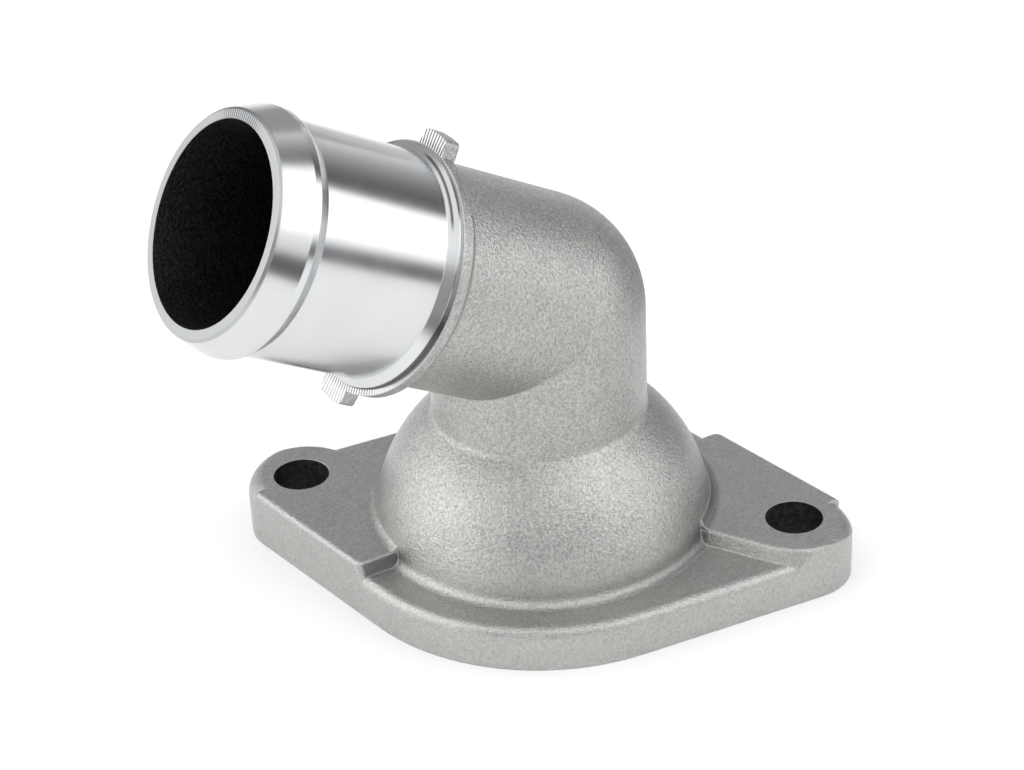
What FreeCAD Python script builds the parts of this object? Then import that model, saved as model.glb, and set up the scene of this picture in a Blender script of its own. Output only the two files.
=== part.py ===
import FreeCAD, Part
import math
import os
from FreeCAD import Placement, Rotation, Vector

# Cast aluminium thermostat housing with a turned hose spigot, one piece.
# Millimetres. The origin is the centre of the sealing face, +Z is up,
# and X runs along the line of the two bolt holes.

# Flange
BOLT_SPACING = 80.0
BOLT_HOLE_RADIUS = 4.5
EAR_RADIUS = 8.9
FLANGE_RADIUS = 33.45
CASTING_OFFSET = 0.2
PLATE_HEIGHT = 7.1
PLATE_EDGE_ROUND = 1.5

# Raised pad at each ear
PAD_HEIGHT = 9.4
PAD_STEP_ANGLE = 16.0
PAD_END_ANGLE = 43.8
PAD_WALL_LEAN = 20.0
PAD_SIDE_ROUND = 0.8
PAD_CORNER_ROUND = 1.5
EAR_TIP_ROUND = 3.0
EAR_TIP_SPREAD = 12.0
EAR_TIP_ANGLE = 28.0
EAR_ROUND_FROM = 47.0

# Dome and neck
DOME_RADIUS = 26.9
DOME_CENTRE_HEIGHT = 5.6
DOME_FOOT_FILLET = 1.6
DOME_WALL = 3.6
NECK_RADIUS = 16.8
NECK_ROOT_FILLET = 1.2
NECK_WALL = 2.9

# Elbow and the direction of the spigot
SPIGOT_TURN = 46.4
SPIGOT_RISE = 29.0
ELBOW_HEIGHT = 44.9
BEND_RADIUS = 2.0

# Spigot, lengths along its axis from where that meets the neck's axis
SPIGOT_LENGTH = 58.8
SPIGOT_RADIUS = 17.1
SPIGOT_WALL = 2.2
LIP_RADIUS = 16.6
LIP_EDGE = 0.35
BEAD_RADIUS = 18.15
BEAD_CREST_FROM_END = 5.3
BEAD_REAR_LENGTH = 1.8
BEAD_LAND = 1.0

# Collar and its two lugs
COLLAR_FACE = 28.9
COLLAR_RADIUS = 18.95
COLLAR_THICKNESS = 1.7
COLLAR_BACK_TAPER = 2.0
COLLAR_SAG = 0.42
SHOULDER_THICKNESS = 0.65
SHOULDER_HEIGHT = 1.2
SHOULDER_TAPER = 1.1
LUG_TIP_RADIUS = 21.25
LUG_WIDTH = 6.4
LUG_TIP_WIDTH = 5.8
LUG_THICKNESS = 2.4
LUG_CORNER_ROUND = 0.9

# Underside
SEAT_RADIUS = 26.6
SEAT_DEPTH = 2.6

# Worked out from the sizes above
UP = Vector(0, 0, 1)
ORIGIN = Vector(0, 0, 0)
EAR_X = BOLT_SPACING / 2
EAR_CENTRE = Vector(EAR_X, 0, 0)
SIDE_COSINE = (FLANGE_RADIUS - EAR_RADIUS) / EAR_X
SIDE_ANGLE = math.degrees(math.acos(SIDE_COSINE))
STEP_FACING = -90 - PAD_STEP_ANGLE
BEND_TURN = 90 - SPIGOT_RISE
BEND_REACH = BEND_RADIUS * math.tan(math.radians(BEND_TURN / 2))
NECK_TOP = ELBOW_HEIGHT - BEND_REACH
NECK_BORE_RADIUS = NECK_RADIUS - NECK_WALL
SPIGOT_BORE_RADIUS = SPIGOT_RADIUS - SPIGOT_WALL
CAVITY_RADIUS = DOME_RADIUS - DOME_WALL
DOME_CENTRE = Vector(0, 0, DOME_CENTRE_HEIGHT)
TURN_TO_SPIGOT = Placement(ORIGIN, Rotation(UP, -SPIGOT_TURN))
ALONG_SPIGOT = Placement(Vector(0, 0, ELBOW_HEIGHT), Rotation(Vector(1, 0, 0), BEND_TURN))
ROOM = FLANGE_RADIUS * 3


def point(x, y, z=0.0):
    return Vector(x, y, z)


def polar(radius, angle, centre=ORIGIN):
    a = math.radians(angle)
    return centre + Vector(radius * math.cos(a), radius * math.sin(a), 0)


def line(a, b):
    return Part.makeLine(a, b)


def arc(a, middle, b):
    return Part.Arc(a, middle, b).toShape()


def arc_about(centre, radius, start, end):
    """Arc in plan about a centre, from one polar angle to another."""
    middle = (start + end) / 2
    return arc(polar(radius, start, centre), polar(radius, middle, centre), polar(radius, end, centre))


def bulge(centre, radius, a, b):
    """Arc from a to b on the circle about a centre, the short way round."""
    middle = centre + (a + b - centre * 2).normalize() * radius
    return arc(a, middle, b)


def prism(edges, height):
    return Part.Face(Part.Wire(edges)).extrude(Vector(0, 0, height))


def polygon_prism(points, height):
    return Part.Face(Part.makePolygon(points + points[:1])).extrude(Vector(0, 0, height))


def revolved(edges):
    return Part.Face(Part.Wire(edges)).revolve(ORIGIN, UP, 360)


def revolved_outline(corners):
    return revolved([line(a, b) for a, b in zip(corners, corners[1:] + corners[:1])])


def half_turned(shape):
    copy = shape.copy()
    copy.rotate(ORIGIN, UP, 180)
    return copy


def top_edges(shape, height):
    found = []
    for edge in shape.Edges:
        box = edge.BoundBox
        if abs(box.ZMin - height) < 1e-6 and abs(box.ZMax - height) < 1e-6:
            found.append(edge)
    return found


def flange_blank(height):
    """The flange's outline, a disc and two ears joined by tangent sides, made solid."""
    side = SIDE_ANGLE
    far = EAR_CENTRE * -1
    edges = [
        arc_about(EAR_CENTRE, EAR_RADIUS, -side, side),
        line(polar(EAR_RADIUS, side, EAR_CENTRE), polar(FLANGE_RADIUS, side)),
        arc_about(ORIGIN, FLANGE_RADIUS, side, 180 - side),
        line(polar(FLANGE_RADIUS, 180 - side), polar(EAR_RADIUS, 180 - side, far)),
        arc_about(far, EAR_RADIUS, 180 - side, 180 + side),
        line(polar(EAR_RADIUS, 180 + side, far), polar(FLANGE_RADIUS, 180 + side)),
        arc_about(ORIGIN, FLANGE_RADIUS, 180 + side, 360 - side),
        line(polar(FLANGE_RADIUS, -side), polar(EAR_RADIUS, -side, EAR_CENTRE)),
    ]
    return prism(edges, height)


def plate():
    """Lower level of the flange, its top edge rounded."""
    body = flange_blank(PLATE_HEIGHT)
    return body.makeFillet(PLATE_EDGE_ROUND, top_edges(body, PLATE_HEIGHT))


def ear_boss():
    """Raised round of one ear: its wall leans out as the step's does, and its edge is softest at the tip."""
    lean = math.radians(PAD_WALL_LEAN)
    reach = PAD_SIDE_ROUND / math.tan(math.radians(45 + PAD_WALL_LEAN / 2))
    top = point(EAR_RADIUS - reach, 0, PAD_HEIGHT)
    round_centre = top - Vector(0, 0, PAD_SIDE_ROUND)
    wall = point(EAR_RADIUS + reach * math.sin(lean), 0, PAD_HEIGHT - reach * math.cos(lean))
    foot = point(EAR_RADIUS + PAD_HEIGHT * math.tan(lean), 0, 0)
    edges = [
        line(ORIGIN, foot),
        line(foot, wall),
        bulge(round_centre, PAD_SIDE_ROUND, wall, top),
        line(top, point(0, 0, PAD_HEIGHT)),
        line(point(0, 0, PAD_HEIGHT), ORIGIN),
    ]
    boss = revolved(edges)
    boss.translate(EAR_CENTRE)
    tip = Part.makeCylinder(EAR_TIP_SPREAD, PAD_HEIGHT, polar(EAR_RADIUS - EAR_TIP_SPREAD, EAR_TIP_ANGLE, EAR_CENTRE))
    tip = tip.makeFillet(EAR_TIP_ROUND, top_edges(tip, PAD_HEIGHT))
    return flange_blank(PAD_HEIGHT).common(boss).common(tip)


def outside_wall(top_point, facing):
    """Block on the outer side of a pad wall that leans out towards its foot."""
    block = Part.makeBox(ROOM, ROOM * 2, ROOM * 2, point(0, -ROOM, -ROOM))
    lean = Rotation(UP, facing).multiply(Rotation(Vector(0, 1, 0), -PAD_WALL_LEAN))
    block.Placement = Placement(top_point + Vector(0, 0, PAD_HEIGHT), lean)
    return block


def web_blank(height):
    """Raised web between an ear and the dome, cut from the flange's outline."""
    spread = 2 * PAD_WALL_LEAN
    step_far = polar(EAR_RADIUS * 2, STEP_FACING, EAR_CENTRE)
    corners = [
        EAR_CENTRE,
        polar(EAR_RADIUS * 2, EAR_ROUND_FROM, EAR_CENTRE),
        polar(ROOM, PAD_END_ANGLE / 2),
        polar(ROOM, PAD_END_ANGLE + spread),
        ORIGIN,
        step_far + polar(EAR_X / 2, STEP_FACING - 90),
        step_far,
    ]
    step = outside_wall(polar(EAR_RADIUS, STEP_FACING, EAR_CENTRE), STEP_FACING)
    end = outside_wall(polar(FLANGE_RADIUS, PAD_END_ANGLE), PAD_END_ANGLE + 90)
    return flange_blank(height).common(polygon_prism(corners, height)).cut([step, end])


def web():
    """Raised web with its plan corner and its free top edges rounded."""
    body = web_blank(PAD_HEIGHT)
    corner = None
    for edge in body.Edges:
        middle = edge.CenterOfMass
        upright = edge.BoundBox.ZLength > PAD_HEIGHT / 2
        if upright and middle.y > EAR_RADIUS and math.hypot(middle.x, middle.y) > DOME_RADIUS:
            if corner is None or middle.x < corner.CenterOfMass.x:
                corner = edge
    body = body.makeFillet(PAD_CORNER_ROUND, [corner])
    hole_middle = EAR_CENTRE + Vector(0, 0, PAD_HEIGHT)
    free = []
    for edge in top_edges(body, PAD_HEIGHT):
        ends = [vertex.Point for vertex in edge.Vertexes]
        at_hole = any(end.distanceToPoint(hole_middle) < 1e-6 for end in ends)
        in_dome = all(math.hypot(end.x, end.y) < SEAT_RADIUS for end in ends)
        if not at_hole and not in_dome:
            free.append(edge)
    return body.makeFillet(PAD_SIDE_ROUND, free)


def foot_of_dome(level):
    """Where the dome's foot fillet meets a flat level, its centre, and where it meets the dome."""
    height = level + DOME_FOOT_FILLET
    out = math.sqrt((DOME_RADIUS + DOME_FOOT_FILLET) ** 2 - (height - DOME_CENTRE_HEIGHT) ** 2)
    centre = point(out, 0, height)
    touch = DOME_CENTRE + (centre - DOME_CENTRE).normalize() * DOME_RADIUS
    return point(out, 0, level), centre, touch


def dome_and_neck():
    """Dome, the fillets at its foot and at the neck, and the neck up to the bend."""
    foot, foot_centre, touch = foot_of_dome(PLATE_HEIGHT)
    out = NECK_RADIUS + NECK_ROOT_FILLET
    rise = math.sqrt((DOME_RADIUS + NECK_ROOT_FILLET) ** 2 - out ** 2)
    root_centre = DOME_CENTRE + point(out, 0, rise)
    crown = DOME_CENTRE + (root_centre - DOME_CENTRE).normalize() * DOME_RADIUS
    root = point(NECK_RADIUS, 0, root_centre.z)
    base = PLATE_HEIGHT / 2
    edges = [
        line(point(0, 0, base), point(foot.x, 0, base)),
        line(point(foot.x, 0, base), foot),
        bulge(foot_centre, DOME_FOOT_FILLET, foot, touch),
        bulge(DOME_CENTRE, DOME_RADIUS, touch, crown),
        bulge(root_centre, NECK_ROOT_FILLET, crown, root),
        line(root, point(NECK_RADIUS, 0, NECK_TOP)),
        line(point(NECK_RADIUS, 0, NECK_TOP), point(0, 0, NECK_TOP)),
        line(point(0, 0, NECK_TOP), point(0, 0, base)),
    ]
    return revolved(edges)


def pad_fillet():
    """Fillet between the dome and the raised web of one side."""
    foot, centre, touch = foot_of_dome(PAD_HEIGHT)
    inner = point(NECK_RADIUS, 0, PAD_HEIGHT)
    edges = [
        line(inner, foot),
        bulge(centre, DOME_FOOT_FILLET, foot, touch),
        line(touch, point(NECK_RADIUS, 0, touch.z)),
        line(point(NECK_RADIUS, 0, touch.z), inner),
    ]
    return revolved(edges).common(web_blank(PAD_HEIGHT + DOME_FOOT_FILLET * 2))


def bend():
    """Outer part of the bend, swept about an axis inside the tube."""
    half_width = math.sqrt(NECK_RADIUS ** 2 - BEND_RADIUS ** 2)
    left = point(-half_width, -BEND_RADIUS, NECK_TOP)
    right = point(half_width, -BEND_RADIUS, NECK_TOP)
    rim = arc(left, point(0, NECK_RADIUS, NECK_TOP), right)
    section = Part.Face(Part.Wire([rim, line(right, left)]))
    axis_point = point(0, -BEND_RADIUS, NECK_TOP)
    return section.revolve(axis_point, Vector(1, 0, 0), BEND_TURN).toNurbs()


def on_spigot(shape):
    """Move a shape that stands on +Z to the spigot's axis, before the turn in plan."""
    shape.Placement = ALONG_SPIGOT.multiply(shape.Placement)
    return shape


def turned(shape):
    shape.Placement = TURN_TO_SPIGOT.multiply(shape.Placement)
    return shape


def spigot():
    """Turned outside of the spigot: lip, hose bead, plain body and shoulder."""
    crest = SPIGOT_LENGTH - BEAD_CREST_FROM_END
    crest_rear = crest - BEAD_LAND / 2
    shoulder_top = COLLAR_FACE + SHOULDER_THICKNESS
    shoulder_radius = SPIGOT_RADIUS + SHOULDER_HEIGHT
    corners = [
        point(0, 0, COLLAR_FACE),
        point(shoulder_radius, 0, COLLAR_FACE),
        point(shoulder_radius, 0, shoulder_top),
        point(SPIGOT_RADIUS, 0, shoulder_top + SHOULDER_TAPER),
        point(SPIGOT_RADIUS, 0, crest_rear - BEAD_REAR_LENGTH),
        point(BEAD_RADIUS, 0, crest_rear),
        point(BEAD_RADIUS, 0, crest_rear + BEAD_LAND),
        point(LIP_RADIUS, 0, SPIGOT_LENGTH - LIP_EDGE),
        point(LIP_RADIUS - LIP_EDGE, 0, SPIGOT_LENGTH),
        point(0, 0, SPIGOT_LENGTH),
    ]
    return revolved_outline(corners)


def collar():
    """Cast collar with two lugs, sagging a little below the axis on which the spigot was turned."""
    back = COLLAR_FACE - COLLAR_THICKNESS
    ring = Part.makeCylinder(COLLAR_RADIUS, COLLAR_THICKNESS, point(0, 0, back))
    taper_foot = point(0, 0, back - COLLAR_BACK_TAPER)
    taper = Part.makeCone(NECK_RADIUS, COLLAR_RADIUS, COLLAR_BACK_TAPER, taper_foot)
    body = ring.fuse([taper, lug(1), lug(-1)])
    body.translate(Vector(0, -COLLAR_SAG, 0))
    return body


def lug(side):
    """One lug on the collar's upper (1) or lower (-1) side, narrowing to its rounded tip."""
    level = COLLAR_FACE - LUG_THICKNESS
    draft = (LUG_WIDTH - LUG_TIP_WIDTH) / 2 / (LUG_TIP_RADIUS - COLLAR_RADIUS)
    far = LUG_TIP_RADIUS * 1.1
    half_far = LUG_TIP_WIDTH / 2 - draft * (far - LUG_TIP_RADIUS)
    half_root = LUG_WIDTH / 2
    corners = [
        point(-half_root, 0, level),
        point(half_root, 0, level),
        point(half_root, side * COLLAR_RADIUS, level),
        point(half_far, side * far, level),
        point(-half_far, side * far, level),
        point(-half_root, side * COLLAR_RADIUS, level),
    ]
    tip = Part.makeCylinder(LUG_TIP_RADIUS, LUG_THICKNESS, point(0, 0, level))
    body = polygon_prism(corners, LUG_THICKNESS).common(tip)
    mid_lug = (COLLAR_RADIUS + LUG_TIP_RADIUS) / 2
    upright = []
    for edge in body.Edges:
        if edge.BoundBox.ZLength > LUG_THICKNESS / 2 and abs(edge.CenterOfMass.y) > mid_lug:
            upright.append(edge)
    return body.makeFillet(LUG_CORNER_ROUND, upright)


def cast_tube():
    """Straight part of the tube from the bend to the collar, as cast."""
    return on_spigot(Part.makeCylinder(NECK_RADIUS, COLLAR_FACE - BEND_REACH, point(0, 0, BEND_REACH)))


def outside():
    """The whole outer form; the cast flange and its pads lie a little off the drilled holes."""
    pads = [ear_boss(), half_turned(ear_boss()), web(), half_turned(web())]
    pads += [pad_fillet(), half_turned(pad_fillet())]
    flange = plate().fuse(pads)
    flange.translate(Vector(CASTING_OFFSET, 0, 0))
    head = turned(cast_tube().fuse([bend(), on_spigot(collar()), on_spigot(spigot())]))
    return dome_and_neck().fuse([flange, head]).removeSplitter()


def inside():
    """The water's way: seat, dome and neck from below, the elbow, and the bore of the spigot."""
    elbow = point(0, 0, ELBOW_HEIGHT)
    crown_height = math.sqrt(CAVITY_RADIUS ** 2 - NECK_BORE_RADIUS ** 2)
    crown_angle = math.degrees(math.atan2(crown_height, NECK_BORE_RADIUS))
    flank = polar(CAVITY_RADIUS, crown_angle / 2)
    corners = [
        ORIGIN,
        point(SEAT_RADIUS, 0, 0),
        point(SEAT_RADIUS, 0, SEAT_DEPTH),
        point(CAVITY_RADIUS, 0, SEAT_DEPTH),
        point(CAVITY_RADIUS, 0, DOME_CENTRE_HEIGHT),
        point(flank.x, 0, DOME_CENTRE_HEIGHT + flank.y),
        point(NECK_BORE_RADIUS, 0, DOME_CENTRE_HEIGHT + crown_height),
        point(NECK_BORE_RADIUS, 0, ELBOW_HEIGHT),
        elbow,
    ]
    ball = Part.makeSphere(NECK_BORE_RADIUS, elbow)
    bore = turned(on_spigot(Part.makeCone(NECK_BORE_RADIUS, SPIGOT_BORE_RADIUS, SPIGOT_LENGTH)))
    return revolved_outline(corners).fuse([ball, bore])


def bolt_holes():
    holes = []
    for x in (-EAR_X, EAR_X):
        holes.append(Part.makeCylinder(BOLT_HOLE_RADIUS, PAD_HEIGHT * 2, point(x, 0, -PAD_HEIGHT / 2)))
    return holes


def housing():
    return outside().cut(inside()).cut(bolt_holes())


def main():
    os.makedirs("parts", exist_ok=True)
    shape = housing()
    shape.exportStep("parts/housing.step")
    print("housing volume", round(shape.Volume, 1), "solids", len(shape.Solids), "valid", shape.isValid())


main()
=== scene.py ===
import math

import bpy
from mathutils import Matrix, Vector


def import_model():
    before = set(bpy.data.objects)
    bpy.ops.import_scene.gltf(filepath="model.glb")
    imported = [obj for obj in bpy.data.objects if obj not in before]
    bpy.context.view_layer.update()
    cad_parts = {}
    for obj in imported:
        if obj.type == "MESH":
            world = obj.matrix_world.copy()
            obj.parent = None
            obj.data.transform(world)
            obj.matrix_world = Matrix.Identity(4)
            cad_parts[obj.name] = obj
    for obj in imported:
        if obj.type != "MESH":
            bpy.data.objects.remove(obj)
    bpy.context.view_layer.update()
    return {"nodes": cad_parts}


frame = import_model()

# The thermostat housing is one aluminium casting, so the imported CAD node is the
# whole object. This file gives each of its surfaces a finish and sets up the studio.

MM = 0.001
UP = Vector((0, 0, 1))
OBJECT_MIDDLE = Vector((0, -0.01, 0.04))

# Where the surfaces lie, in millimetres, as in the CAD source
BOLT_HOLE_X = 40.0
BOLT_HOLE_RADIUS = 4.5
FLANGE_TOP = 9.4
SEAT_RADIUS = 26.6
SEAT_DEPTH = 2.6
SPIGOT_START = Vector((0, 0, 44.9))
SPIGOT_AXIS = Vector((-0.633375, -0.603155, 0.484810)).normalized()
SPIGOT_LENGTH = 58.8
COLLAR_FACE = 28.9
BORE_RADIUS_LIMIT = 15.0
END_WALL_NORMAL = Vector((0.65, -0.68, 0.34))

# Slack in millimetres for where a face's middle lies, since flat facets cut a curve short
CLOSE = 0.02
LEVEL = 0.01
BEHIND_COLLAR_FACE = 0.2
# The least part along the spigot of a normal that points along it, and the most part
# upward of one that doesn't point up
STRAIGHT_ALONG = 0.99
BARELY_UP = 0.01

# Spans in millimetres: low, high, and the width over which each fades out
# Painted shade at the dome's foot
DOME_FOOT_SHADE_RADII = (26.8, 27.7, 0.5)
# Painted shade on the left pad's end wall
END_WALL_HEIGHTS = (6.9, 9.2, 0.2)
COLLAR_RADII = (18.5, 22.0, 0.1)
# Painted shade lines at the collar
LOWER_SHADE_LINE_RADII = (18.28, 18.40, 0.06)
UPPER_SHADE_LINE_RADII = (17.5, 17.72, 0.1)

# The same in degrees about the spigot's axis, with the upper lug at 90
LUG_CHATTER_ANGLES = (66, 101, 13)
LIP_CHATTER_ANGLES = (70, 90, 18)
# Painted shade lines at the collar
LOWER_SHADE_LINE_ANGLES = (-172, -60, 10)
UPPER_SHADE_LINE_ANGLES = (98, 136, 8)

# Where something comes in or goes out, in millimetres along its own direction
# Painted shade at the dome's foot
DOME_FOOT_SHADE_GOES_UPWARD = (10.4, 11.8)
DOME_FOOT_SHADE_COMES_RIGHTWARD = (8, 27)
# Painted shade on the left pad's end wall
LEFT_PAD_GOES = (-16, -15)
COARSE_GRAIN_COMES = (9.6, 14)
LIP_COMES = (SPIGOT_LENGTH - 0.6, SPIGOT_LENGTH - 0.3)
SHOULDER_GOES = (30.2, 30.5)
CHATTER_FADES = (19.0, 19.6)

# How wide each feature of the finishes is, in millimetres
CAST_GRAIN = 0.46
CAST_FINE_GRAIN = 0.22
CAST_WAVE = 4
CAST_BLOTCH = 6
LATHE_LINE = 0.10
TURNED_SMEAR = 5
BORE_GRAIN = 0.55
BORE_FLECK = 0.25
HOLE_GRAIN = 0.7
MILL_ARC = 0.5
MILL_FINE_ARC = 0.12
# A chatter ridge is two pi divided by this, in degrees about the spigot's axis
RIDGE_RATE = 3.2

# How deep each is in millimetres
CAST_WAVE_DEPTH = 0.05
CAST_GRAIN_DEPTH = 0.12
CAST_FINE_DEPTH = 0.10
LATHE_DEPTH = 0.0012
CHATTER_DEPTH = 0.03
BORE_DEPTH = 0.12
HOLE_DEPTH = 0.06
MILL_DEPTH = 0.006

# How round the edges of each finish look, in millimetres
CAST_EDGE = 0.45
TURNED_EDGE = 0.2
MILLED_EDGE = 0.3

# How much of its own colour each of these takes, from 0 to 1
# The first two are shares of painted shade
DOME_FOOT_SHADE_SHARE = 0.6
PAINTED_SHADE_SHARE = 0.9
RUBBED_AND_HIGHLIGHT_SHARE = 0.55
LIP_SHARE = 0.9
CHATTER_SHARE = 0.85
FAR_CHATTER_SHARE = 0.28
# Painted shade lines at the collar
SHADE_LINE_SHARE = 0.85

# The middle of the face mill's arcs, in metres
MILL_CENTRE = (0.16, 0.02, 0)

# The photograph's camera, with its place in millimetres and its angles in degrees
IMAGE_WIDTH = 1024
FOCAL_PIXELS = 2619.24
SENSOR_WIDTH = 36.0
CAMERA_PLACE = Vector((78.687, -339.611, 237.657))
CAMERA_YAW = 13.720
CAMERA_PITCH = 30.773
CAMERA_ROLL = 2.624

CAST_LIGHT = (0.65, 0.65, 0.632, 1)
CAST_DARK = (0.33, 0.33, 0.324, 1)
# Edges: partly rubbed wear, partly painted highlight
CAST_RUBBED_AND_HIGHLIGHT = (0.70, 0.70, 0.69, 1)
# Painted shade at the dome's foot and on the left pad's end wall
CAST_PAINTED_SHADE = (0.17, 0.17, 0.165, 1)
TURNED_COLOUR = (0.70, 0.712, 0.723, 1)
TURNED_DULL = (0.68, 0.692, 0.705, 1)
FACED_COLOUR = (0.46, 0.47, 0.48, 1)
CHATTER_COLOUR = (0.12, 0.125, 0.13, 1)
# Painted shade lines at the collar
SHADE_LINE_COLOUR = (0.07, 0.07, 0.07, 1)
# Painted shade for the bore and the bolt holes
SHADED_HOLLOW_LIGHTER = (0.14, 0.135, 0.13, 1)
SHADED_HOLLOW_DARKER = (0.05, 0.048, 0.046, 1)
MILLED_LIGHT = (0.70, 0.70, 0.69, 1)
MILLED_DARK = (0.60, 0.60, 0.59, 1)

WHITE = (1, 1, 1, 1)
FLOOR_COLOUR = (0.82, 0.82, 0.82, 1)
FLOOR_GLOW = 0.22
FLOOR_HALF = 3.0
LAID_CARD_HEIGHT = 0.0005
WORLD_ON_MATT = 0.85


def in_metres(lengths):
    return [length * MM for length in lengths]


class Nodes:
    """Short way to write the nodes of one material or world."""

    def __init__(self, tree):
        self.tree = tree
        tree.nodes.clear()

    def add(self, kind, inputs=None, **settings):
        node = self.tree.nodes.new("ShaderNode" + kind)
        for name, value in settings.items():
            setattr(node, name, value)
        for name, value in (inputs or {}).items():
            self.put(node.inputs[name], value)
        return node

    def put(self, socket, value):
        if isinstance(value, bpy.types.NodeSocket):
            self.tree.links.new(value, socket)
        else:
            socket.default_value = value

    def maths(self, operation, first, second=0.0, third=0.0):
        return self.add("Math", {0: first, 1: second, 2: third}, operation=operation).outputs[0]

    def times(self, first, second):
        return self.maths("MULTIPLY", first, second)

    def vector(self, operation, first, second=(0, 0, 0)):
        """Vector made from one or two others."""
        node = self.add("VectorMath", {0: first, 1: second}, operation=operation)
        return node.outputs["Vector"]

    def measure(self, operation, first, second=(0, 0, 0)):
        """Length, distance or dot product of vectors."""
        node = self.add("VectorMath", {0: first, 1: second}, operation=operation)
        return node.outputs["Value"]

    def scaled(self, vector, factor):
        node = self.add("VectorMath", {0: vector, "Scale": factor}, operation="SCALE")
        return node.outputs["Vector"]

    def place(self):
        """Place on the object, in the row frame, in metres."""
        return self.add("TexCoord").outputs["Object"]

    def split(self, vector):
        """Parts of a vector, named X, Y and Z."""
        return self.add("SeparateXYZ", {"Vector": vector}).outputs

    def noise(self, place, size, detail=2.0, rough=0.5):
        """Noise whose features are about size metres wide."""
        names = {"Scale": 1 / size, "Detail": detail, "Roughness": rough, "Vector": place}
        return self.add("TexNoise", names).outputs["Fac"]

    def line_noise(self, value, size, detail=2.0):
        """Noise that changes only with one value."""
        names = {"W": value, "Scale": 1 / size, "Detail": detail}
        return self.add("TexNoise", names, noise_dimensions="1D").outputs["Fac"]

    def spread(self, value, low, high, to_low=0.0, to_high=1.0, soft=False):
        """Value from low to high, carried to between to_low and to_high."""
        kind = "SMOOTHSTEP" if soft else "LINEAR"
        names = {"Value": value, "From Min": low, "From Max": high, "To Min": to_low, "To Max": to_high}
        return self.add("MapRange", names, interpolation_type=kind).outputs["Result"]

    def between(self, value, low, high, fade):
        """1 where the value lies from low to high, fading to 0 outside."""
        rise = self.spread(value, low - fade, low, soft=True)
        fall = self.spread(value, high, high + fade, 1.0, 0.0, soft=True)
        return self.times(rise, fall)

    def blend(self, share, first, second):
        """Colour that goes from the first to the second as share goes from 0 to 1."""
        mix = self.add("Mix", {"Factor": share}, data_type="RGBA")
        colours = [socket for socket in mix.inputs if socket.type == "RGBA"]
        self.put(colours[0], first)
        self.put(colours[1], second)
        return next(socket for socket in mix.outputs if socket.type == "RGBA")

    def bump(self, height, depth, normal=None):
        names = {"Height": height, "Distance": depth, "Strength": 1.0}
        if normal is not None:
            names["Normal"] = normal
        return self.add("Bump", names).outputs["Normal"]

    def softened(self, radius):
        """Normal that is rounded off within a radius of an edge."""
        return self.add("Bevel", {"Radius": radius}, samples=4).outputs["Normal"]

    def near_edge(self, soft):
        """How near an edge a place is, from how far its softened normal leans."""
        true = self.add("NewGeometry").outputs["Normal"]
        match = self.measure("DOT_PRODUCT", soft, true)
        return self.spread(self.maths("SUBTRACT", 1.0, match), 0.02, 0.25)

    def metal(self, colour, roughness, normal):
        names = {"Base Color": colour, "Metallic": 1.0, "Roughness": roughness, "Normal": normal}
        self.surface(self.add("BsdfPrincipled", names).outputs["BSDF"])

    def surface(self, shader, output="OutputMaterial"):
        self.tree.links.new(shader, self.add(output).inputs["Surface"])


def new_material(name):
    material = bpy.data.materials.new(name)
    material.use_nodes = True
    return material, Nodes(material.node_tree)


def spigot_place(n, place):
    """Distance along the spigot's axis, distance from it, and angle about it in degrees."""
    across = SPIGOT_AXIS.cross(UP).normalized()
    upward = across.cross(SPIGOT_AXIS)
    from_start = n.vector("SUBTRACT", place, SPIGOT_START * MM)
    along = n.measure("DOT_PRODUCT", from_start, SPIGOT_AXIS)
    side = n.measure("DOT_PRODUCT", from_start, across)
    height = n.measure("DOT_PRODUCT", from_start, upward)
    square = n.maths("MULTIPLY_ADD", side, side, n.times(height, height))
    return along, n.maths("SQRT", square), n.maths("DEGREES", n.maths("ARCTAN2", height, side))


def spigot_normal(n, normal, place, along):
    """Normal of a surface turned about the spigot's axis, leaning along it as the given one does."""
    from_start = n.vector("SUBTRACT", place, SPIGOT_START * MM)
    away = n.vector("SUBTRACT", from_start, n.scaled(SPIGOT_AXIS, along))
    away = n.vector("NORMALIZE", away)
    lean = n.measure("DOT_PRODUCT", normal, SPIGOT_AXIS)
    rest = n.maths("SUBTRACT", 1.0, n.times(lean, lean))
    rest = n.maths("SQRT", n.maths("MAXIMUM", rest, 0.0))
    return n.vector("ADD", n.scaled(SPIGOT_AXIS, lean), n.scaled(away, rest))


def dome_foot_painted_shade(n, place):
    """Painted shade in the crease at the dome's foot, low down and deepest on the right."""
    from_axis = n.measure("LENGTH", n.vector("MULTIPLY", place, (1, 1, 0)))
    ring = n.between(from_axis, *in_metres(DOME_FOOT_SHADE_RADII))
    low = n.spread(n.split(place)["Z"], *in_metres(DOME_FOOT_SHADE_GOES_UPWARD), 1.0, 0.0, soft=True)
    right = n.spread(n.split(place)["X"], *in_metres(DOME_FOOT_SHADE_COMES_RIGHTWARD), soft=True)
    return n.times(n.times(n.times(ring, low), right), DOME_FOOT_SHADE_SHARE)


def left_end_wall_painted_shade(n, place):
    """Painted shade on the left pad's end wall, told by its height, side and normal."""
    normal = n.add("NewGeometry").outputs["Normal"]
    facing = n.spread(n.measure("DOT_PRODUCT", normal, END_WALL_NORMAL), 0.88, 0.97)
    left = n.spread(n.split(place)["X"], *in_metres(LEFT_PAD_GOES), 1.0, 0.0)
    wall = n.times(facing, n.between(n.split(place)["Z"], *in_metres(END_WALL_HEIGHTS)))
    return n.times(wall, left)


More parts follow.
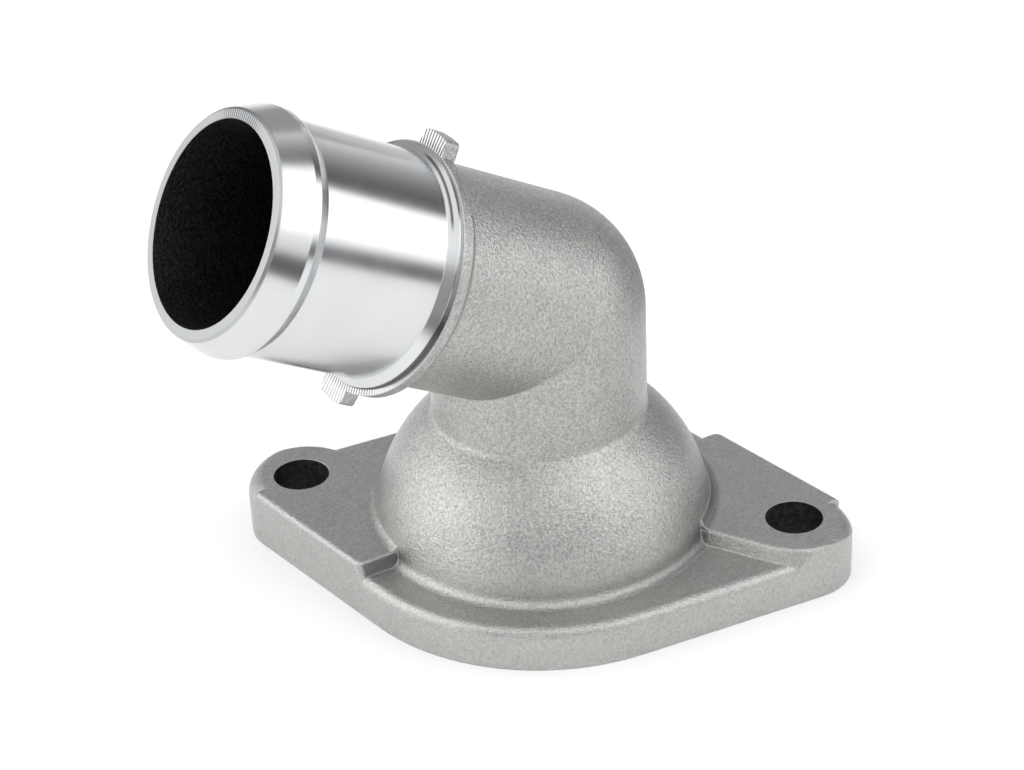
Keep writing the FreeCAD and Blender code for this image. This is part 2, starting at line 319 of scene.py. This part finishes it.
def cast_shade(n, place, grain, fine):
    """Light and dark of the cast grain with soft blotches, fainter low down on the flange."""
    blotch = n.noise(place, CAST_BLOTCH * MM, 3, 0.6)
    shade = n.spread(n.maths("MULTIPLY_ADD", fine, 0.5, n.times(grain, 0.5)), 0.36, 0.64)
    shade = n.maths("MULTIPLY_ADD", n.maths("SUBTRACT", blotch, 0.5), 0.35, shade)
    coarse = n.spread(n.split(place)["Z"], *in_metres(COARSE_GRAIN_COMES), 0.6, 1.0)
    return n.maths("MULTIPLY_ADD", n.maths("SUBTRACT", shade, 0.5), coarse, 0.5)


def cast_skin():
    """Sand-blasted casting: fine grain, soft blotches, edges lighter partly as rubbed wear and partly as
    painted highlight, and painted shade at the dome's foot and on the left pad's end wall.
    """
    material, n = new_material("cast_skin")
    place = n.place()
    grain = n.noise(place, CAST_GRAIN * MM, 2, 0.6)
    fine = n.noise(place, CAST_FINE_GRAIN * MM, 2, 0.6)
    wave = n.noise(place, CAST_WAVE * MM, 1, 0.5)
    soft = n.softened(CAST_EDGE * MM)
    edge = n.near_edge(soft)
    # Painted shade at the dome's foot and on the left pad's end wall
    dark = n.maths("MAXIMUM", dome_foot_painted_shade(n, place), left_end_wall_painted_shade(n, place))
    colour = n.blend(cast_shade(n, place, grain, fine), CAST_DARK, CAST_LIGHT)
    colour = n.blend(n.times(dark, PAINTED_SHADE_SHARE), colour, CAST_PAINTED_SHADE)
    # Edges lightened, partly as rubbed wear and partly as painted highlight
    colour = n.blend(n.times(edge, RUBBED_AND_HIGHLIGHT_SHARE), colour, CAST_RUBBED_AND_HIGHLIGHT)
    rough = n.spread(fine, 0.3, 0.7, 0.30, 0.40)
    rough = n.maths("SUBTRACT", rough, n.times(edge, 0.05))
    normal = n.bump(wave, CAST_WAVE_DEPTH * MM, soft)
    normal = n.bump(grain, CAST_GRAIN_DEPTH * MM, normal)
    normal = n.bump(fine, CAST_FINE_DEPTH * MM, normal)
    n.metal(colour, rough, normal)
    return material


def chatter_ridges(n, out, angle, on_lip):
    """Tool chatter, up to each lug of the collar and over it, and near the top of the lip."""
    half_turn = n.maths("MODULO", n.maths("ADD", angle, 360.0), 180.0)
    on_collar = n.between(out, *in_metres(COLLAR_RADII))
    at_lug = n.times(n.between(half_turn, *LUG_CHATTER_ANGLES), on_collar)
    at_lip = n.times(n.between(angle, *LIP_CHATTER_ANGLES), on_lip)
    ridges = n.maths("SINE", n.times(angle, RIDGE_RATE))
    return n.times(ridges, n.maths("MAXIMUM", at_lug, at_lip))


def painted_shade_lines(n, along, out, angle):
    """Thin dark lines of painted shade that part the collar from the shoulder in front of it."""
    below = n.spread(n.between(angle, *LOWER_SHADE_LINE_ANGLES), 0.0, 1.0, 0.35, 1.0)
    lower = n.times(n.between(out, *in_metres(LOWER_SHADE_LINE_RADII)), below)
    on_shoulder = n.spread(along, *in_metres(SHOULDER_GOES), 1.0, 0.0)
    above = n.times(n.between(angle, *UPPER_SHADE_LINE_ANGLES), on_shoulder)
    upper = n.times(n.between(out, *in_metres(UPPER_SHADE_LINE_RADII)), above)
    return n.times(n.maths("MAXIMUM", lower, upper), SHADE_LINE_SHARE)


def turned_metal():
    """Bright metal turned on a lathe, with fine marks round the spigot and chatter beside each lug."""
    material, n = new_material("turned_metal")
    place = n.place()
    along, out, angle = spigot_place(n, place)
    marks = n.line_noise(along, LATHE_LINE * MM, 3)
    rings = n.line_noise(out, LATHE_LINE * MM, 3)
    smear = n.noise(place, TURNED_SMEAR * MM, 2, 0.5)
    on_lip = n.spread(along, *in_metres(LIP_COMES))
    chatter = chatter_ridges(n, out, angle, on_lip)
    share = n.spread(out, *in_metres(CHATTER_FADES), CHATTER_SHARE, FAR_CHATTER_SHARE)
    colour = n.blend(n.spread(smear, 0.35, 0.65), TURNED_COLOUR, TURNED_DULL)
    colour = n.blend(n.times(on_lip, LIP_SHARE), colour, FACED_COLOUR)
    colour = n.blend(n.times(n.spread(chatter, 0.0, 0.8), share), colour, CHATTER_COLOUR)
    # Painted shade lines where the collar meets the shoulder
    colour = n.blend(painted_shade_lines(n, along, out, angle), colour, SHADE_LINE_COLOUR)
    rough = n.maths("MULTIPLY_ADD", on_lip, 0.12, n.spread(smear, 0.3, 0.7, 0.19, 0.22))
    normal = spigot_normal(n, n.softened(TURNED_EDGE * MM), place, along)
    normal = n.bump(marks, LATHE_DEPTH * MM, normal)
    normal = n.bump(rings, LATHE_DEPTH * MM, normal)
    normal = n.bump(chatter, CHATTER_DEPTH * MM, normal)
    n.metal(colour, rough, normal)
    return material


def bore_skin():
    """Grainy inside of the spigot and dome, dark with painted shade."""
    material, n = new_material("bore_skin")
    place = n.place()
    grain = n.noise(place, BORE_GRAIN * MM, 3, 0.6)
    fleck = n.noise(place, BORE_FLECK * MM, 2, 0.5)
    colour = n.blend(n.spread(grain, 0.35, 0.7), SHADED_HOLLOW_DARKER, SHADED_HOLLOW_LIGHTER)
    rough = n.spread(fleck, 0.35, 0.65, 0.35, 0.6)
    n.metal(colour, rough, n.bump(grain, BORE_DEPTH * MM))
    return material


def hole_wall():
    """Bolt holes, a little rough, dark with painted shade."""
    material, n = new_material("hole_wall")
    grain = n.noise(n.place(), HOLE_GRAIN * MM, 3, 0.6)
    colour = n.blend(n.spread(grain, 0.35, 0.7), SHADED_HOLLOW_DARKER, SHADED_HOLLOW_LIGHTER)
    rough = n.spread(grain, 0.3, 0.7, 0.5, 0.65)
    n.metal(colour, rough, n.bump(grain, HOLE_DEPTH * MM))
    return material


def milled_face():
    """Machined underside and seat, with the arcs left by a face mill."""
    material, n = new_material("milled_face")
    from_centre = n.measure("DISTANCE", n.place(), MILL_CENTRE)
    arcs = n.line_noise(from_centre, MILL_ARC * MM, 3)
    fine = n.line_noise(from_centre, MILL_FINE_ARC * MM, 2)
    colour = n.blend(n.spread(arcs, 0.3, 0.7), MILLED_DARK, MILLED_LIGHT)
    rough = n.spread(fine, 0.3, 0.7, 0.22, 0.32)
    n.metal(colour, rough, n.bump(arcs, MILL_DEPTH * MM, n.softened(MILLED_EDGE * MM)))
    return material


CAST, TURNED, BORE, HOLE, MILLED = range(5)
FINISHES = (cast_skin, turned_metal, bore_skin, hole_wall, milled_face)


def off_spigot_axis(place):
    """How far along the spigot's axis a place is, and the way to it straight out from the axis."""
    from_start = place - SPIGOT_START
    along = from_start.dot(SPIGOT_AXIS)
    return along, from_start - SPIGOT_AXIS * along


def is_turned(place, normal):
    """On the collar's front face, or outside the spigot in front of it."""
    along, out = off_spigot_axis(place)
    on_face = along > COLLAR_FACE - BEHIND_COLLAR_FACE and normal.dot(SPIGOT_AXIS) > STRAIGHT_ALONG
    return out.length > BORE_RADIUS_LIMIT and (along > COLLAR_FACE + CLOSE or on_face)


def is_bolt_hole(place):
    from_hole = math.hypot(abs(place.x) - BOLT_HOLE_X, place.y)
    return from_hole < BOLT_HOLE_RADIUS + CLOSE and place.z < FLANGE_TOP


def is_milled(place):
    """On the underside or in the thermostat's seat."""
    in_seat = math.hypot(place.x, place.y) < SEAT_RADIUS + CLOSE and place.z < SEAT_DEPTH + LEVEL
    return place.z < LEVEL or in_seat


def is_inside(place, normal):
    """In the dome's hollow, the neck or the spigot's bore."""
    in_hollow = math.hypot(place.x, place.y) < SEAT_RADIUS and place.z < SPIGOT_START.z
    inward = normal.x * place.x + normal.y * place.y < 0 and normal.z < BARELY_UP
    along, out = off_spigot_axis(place)
    in_bore = along > 0 and out.length < BORE_RADIUS_LIMIT and out.dot(normal) < 0
    return (in_hollow and inward) or in_bore


def surface_of(place, normal):
    """Which finish a face has, from its middle in millimetres and its normal."""
    if is_turned(place, normal):
        return TURNED
    if is_bolt_hole(place):
        return HOLE
    if is_milled(place):
        return MILLED
    return BORE if is_inside(place, normal) else CAST


def assign_surfaces(housing):
    mesh = housing.data
    mesh.materials.clear()
    for make in FINISHES:
        mesh.materials.append(make())
    for face in mesh.polygons:
        face.material_index = surface_of(face.center / MM, face.normal)


def add_object(name, data):
    made = bpy.data.objects.new(name, data)
    bpy.context.scene.collection.objects.link(made)
    return made


def camera():
    yaw, pitch, roll = (math.radians(angle) for angle in (CAMERA_YAW, CAMERA_PITCH, CAMERA_ROLL))
    forward = Vector((-math.sin(yaw) * math.cos(pitch), math.cos(yaw) * math.cos(pitch), -math.sin(pitch)))
    level = forward.cross(UP).normalized()
    down = forward.cross(level)
    right = level * math.cos(roll) + down * math.sin(roll)
    below = down * math.cos(roll) - level * math.sin(roll)
    made = add_object("camera", bpy.data.cameras.new("camera"))
    made.data.sensor_fit = "HORIZONTAL"
    made.data.sensor_width = SENSOR_WIDTH
    made.data.lens = FOCAL_PIXELS * SENSOR_WIDTH / IMAGE_WIDTH
    made.data.clip_start = 0.01
    made.data.clip_end = 20
    turn = Matrix((right, -below, -forward)).transposed().to_4x4()
    made.matrix_world = Matrix.Translation(CAMERA_PLACE * MM) @ turn
    bpy.context.scene.camera = made


def soft_box(name, azimuth, elevation, distance, width, height, radiance):
    """Lamp at an azimuth from +X and an elevation, in degrees, facing the object."""
    light = bpy.data.lights.new(name, "AREA")
    light.shape = "RECTANGLE"
    light.size, light.size_y = width, height
    light.energy = radiance * math.pi * width * height
    around, up = math.radians(azimuth), math.radians(elevation)
    out = Vector((math.cos(around) * math.cos(up), math.sin(around) * math.cos(up), math.sin(up)))
    turn = (-out).to_track_quat("-Z", "Y").to_matrix().to_4x4()
    made = add_object(name, light)
    made.matrix_world = Matrix.Translation(OBJECT_MIDDLE + out * distance) @ turn


def quad(name, corners):
    """Flat piece of the studio."""
    mesh = bpy.data.meshes.new(name)
    mesh.from_pydata(corners, [], [tuple(range(len(corners)))])
    made = add_object(name, mesh)
    return made


def card_grey(name, half_width, span, greys, fade):
    """Glowing grey, shaded from the right edge to the left one, that fades out at all edges."""
    material, n = new_material(name)
    place = n.split(n.place())
    leftward = n.spread(place["X"], half_width, -half_width)
    grey = n.spread(n.times(leftward, leftward), 0.0, 1.0, *greys)
    glow = n.add("Emission", {"Color": WHITE, "Strength": grey}).outputs[0]
    clear = n.add("BsdfTransparent").outputs[0]
    low, high = span
    sides = n.between(place["X"], fade - half_width, half_width - fade, fade)
    solid = n.times(sides, n.between(place["Z"], low + fade, high - fade, fade))
    n.surface(n.add("MixShader", {0: solid, 1: clear, 2: glow}).outputs[0])
    return material


def card(name, azimuth, half_angle, distance, span, greys, fade=0.02, laid=False):
    """Grey studio card that only the metal's reflections see.

    It faces the row frame's origin from an azimuth from +X and a distance in metres,
    and reaches to half_angle either side. The span is how far up its lower and upper
    edges are or, when it is laid on the floor, how far beyond the distance its near and
    far edges are. The greys are those of its right and left edges.
    """
    half_width = distance * math.tan(math.radians(half_angle))
    low, high = span
    corners = [(-half_width, 0, low), (half_width, 0, low), (half_width, 0, high), (-half_width, 0, high)]
    made = quad(name, corners)
    turn = Matrix.Rotation(math.radians(azimuth - 90), 4, "Z")
    tilt = Matrix.Rotation(math.radians(-90 if laid else 0), 4, "X")
    height = LAID_CARD_HEIGHT if laid else 0
    made.matrix_world = turn @ Matrix.Translation((0, distance, height)) @ tilt
    made.visible_camera = False
    made.visible_diffuse = False
    made.visible_shadow = False
    made.data.materials.append(card_grey(name, half_width, span, greys, fade))


def shown_rays(n):
    """1 for camera, glossy and transmission rays."""
    path = n.add("LightPath").outputs
    most = n.maths("MAXIMUM", path["Is Camera Ray"], path["Is Glossy Ray"])
    return n.maths("MAXIMUM", most, path["Is Transmission Ray"])


def world():
    """White where it is seen, and a little less as light on matt surfaces."""
    made = bpy.data.worlds.new("studio")
    bpy.context.scene.world = made
    made.use_nodes = True
    n = Nodes(made.node_tree)
    strength = n.spread(shown_rays(n), 0.0, 1.0, WORLD_ON_MATT, 1.0)
    back = n.add("Background", {"Color": WHITE, "Strength": strength})
    n.surface(back.outputs[0], "OutputWorld")


def floor():
    """Pale floor that glows a little where it is seen, so that it meets the white backdrop."""
    half = FLOOR_HALF
    made = quad("floor", [(-half, -half, 0), (half, -half, 0), (half, half, 0), (-half, half, 0)])
    material, n = new_material("floor")
    matt = n.add("BsdfDiffuse", {"Color": FLOOR_COLOUR}).outputs[0]
    glow = n.add("Emission", {"Strength": n.times(shown_rays(n), FLOOR_GLOW)}).outputs[0]
    n.surface(n.add("AddShader", {0: matt, 1: glow}).outputs[0])
    made.data.materials.append(material)


housing = frame["nodes"]["housing"]
assign_surfaces(housing)
camera()
world()
floor()

# Lamps: azimuth, elevation, distance, width, height and radiance
soft_box("right_box", -5, 35, 0.95, 1.15, 1.05, 0.80)
soft_box("left_box", -156, 33, 0.95, 1.15, 1.15, 0.90)

# Cards: azimuth, half angle, distance, span and greys
card("card_right_back", 57, 29, 0.60, (-0.02, 1.40), (0.05, 0.90))
card("card_back", 111, 29, 0.90, (0.05, 1.95), (0.38, 0.38), fade=0.1)
card("card_front", -99, 23, 1.00, (0.001, 0.95), (0.35, 0.35), fade=0.1)
card("strip_right", -10, 17, 0.34, (-0.010, 0.075), (0.05, 0.05), fade=0.010)
card("strip_right_front", -48, 26, 0.36, (-0.06, 0.150), (0.05, 0.05), fade=0.06)
card("strip_front", -92, 19, 0.45, (-0.04, 0.130), (0.12, 0.12), fade=0.04)
card("strip_right_back", 46, 15, 0.30, (-0.03, 0.100), (0.06, 0.20))
card("floor_card", 55, 36, 0.20, (-0.13, 0.16), (0.50, 0.50), fade=0.03, laid=True)
card("strip_left_back", 138, 20, 0.45, (-0.04, 0.130), (0.25, 0.25), fade=0.03)
card("strip_back", 88, 24, 0.55, (-0.02, 0.165), (0.70, 0.70))

bpy.context.scene.view_settings.view_transform = "Standard"
